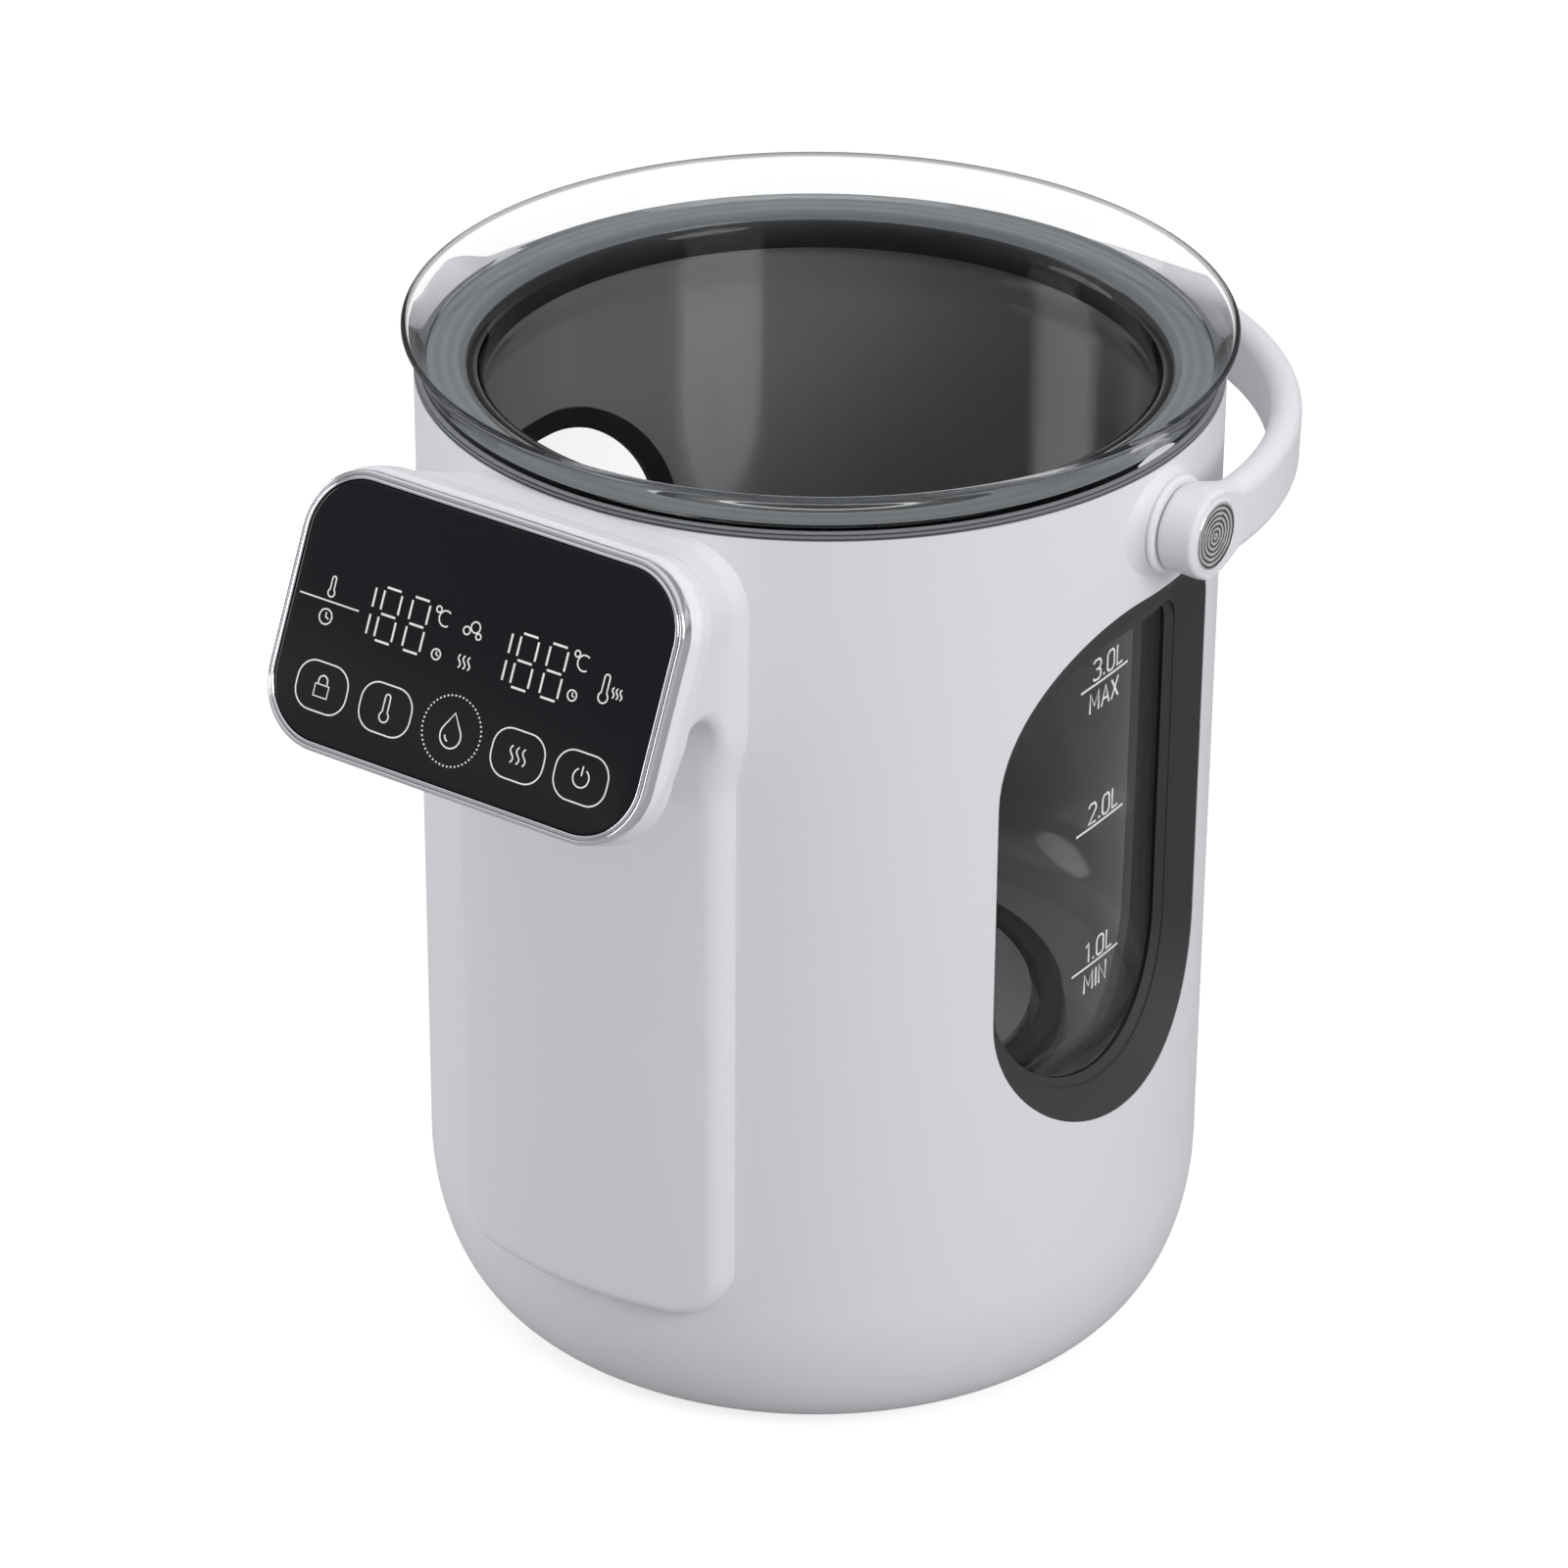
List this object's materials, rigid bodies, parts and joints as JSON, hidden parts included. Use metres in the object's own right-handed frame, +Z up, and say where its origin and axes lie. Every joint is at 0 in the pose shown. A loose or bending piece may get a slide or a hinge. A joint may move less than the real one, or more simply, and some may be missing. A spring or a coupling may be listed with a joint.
{
  "type": "electric thermo pot",
  "caption": "Cylindrical electric water boiler with a clear glass jar, side windows, a tilted touch head with a nozzle beneath, and a swing handle.",
  "frame": {"origin": "axis of the round casing at the level of the table; the rubber feet reach down to it and the base tray's flat underside is 1.5 mm above it", "axes": "+Z up; the control head and the nozzle face -Y, the folded handle and the power inlet are towards +Y, and the handle pivots about the X direction"},
  "size_m": [0.2348, 0.2837, 0.2749],
  "materials": {
    "white_shell": "moulded, satin",
    "dark_plastic": "moulded, satin",
    "black_plastic": "moulded, matt",
    "black_rubber": "matt",
    "grey_ring": "moulded, satin",
    "clear_glass": "clear, polished",
    "white_print": "printed ink",
    "steel": "brushed",
    "aluminium": "die cast",
    "component": "moulded",
    "silicone": "matt, milky",
    "chrome_trim": "bright plated",
    "black_glass": "polished, black backed",
    "board_green": "solder mask",
    "brass_pin": "bright"
  },
  "bodies": {
    "root": {"outer_casing": "white_shell", "base_tray": "white_shell", "chassis": "dark_plastic", "rubber_feet": "black_rubber", "base_screws": "steel", "chassis_screws": "steel", "inner_liner": "dark_plastic", "window_frame_right": "dark_plastic", "window_frame_left": "dark_plastic", "window_seals": "black_rubber", "glass_jar": "clear_glass", "level_marks": "white_print", "deck_ring": "grey_ring", "throat_seal": "black_rubber", "rim_gasket": "black_rubber", "jar_seal": "black_rubber", "clamp_ring": "steel", "heater_plate": "steel", "heat_spreader": "aluminium", "heating_element": "aluminium", "temperature_sensor": "steel", "thermal_cutouts": "component", "outlet_fitting": "steel", "suction_hose": "silicone", "hose_clips": "steel", "pump_motor": "steel", "pump_body": "dark_plastic", "pump_cover": "dark_plastic", "riser_tube": "silicone", "front_housing": "white_shell", "housing_screws": "steel", "trim_ring": "chrome_trim", "touch_glass": "black_glass", "display_board": "board_green", "display_modules": "component", "display_lead": "black_rubber", "spout_nozzle": "silicone", "power_board": "board_green", "board_parts": "component", "inlet_socket": "black_plastic", "inlet_pins": "brass_pin", "handle_boss_right": "white_shell", "handle_boss_left": "white_shell", "pivot_pins": "steel"},
    "handle": {"handle": "white_shell", "pivot_bushes": "silicone", "pivot_caps": "chrome_trim"},
    "pump_rotor": {"pump_rotor": "component"}
  },
  "joints": [
    {"name": "handle_swing", "type": "hinge", "parent": "root", "child": "handle", "pos_m": [0, 0, 0.2471], "axis": [1, 0, 0], "range_deg": [0, 155]},
    {"name": "pump_spin", "type": "hinge", "parent": "root", "child": "pump_rotor", "pos_m": [-0.012, -0.04802, 0.05], "axis": [0, 0, 1], "continuous": true}
  ]
}
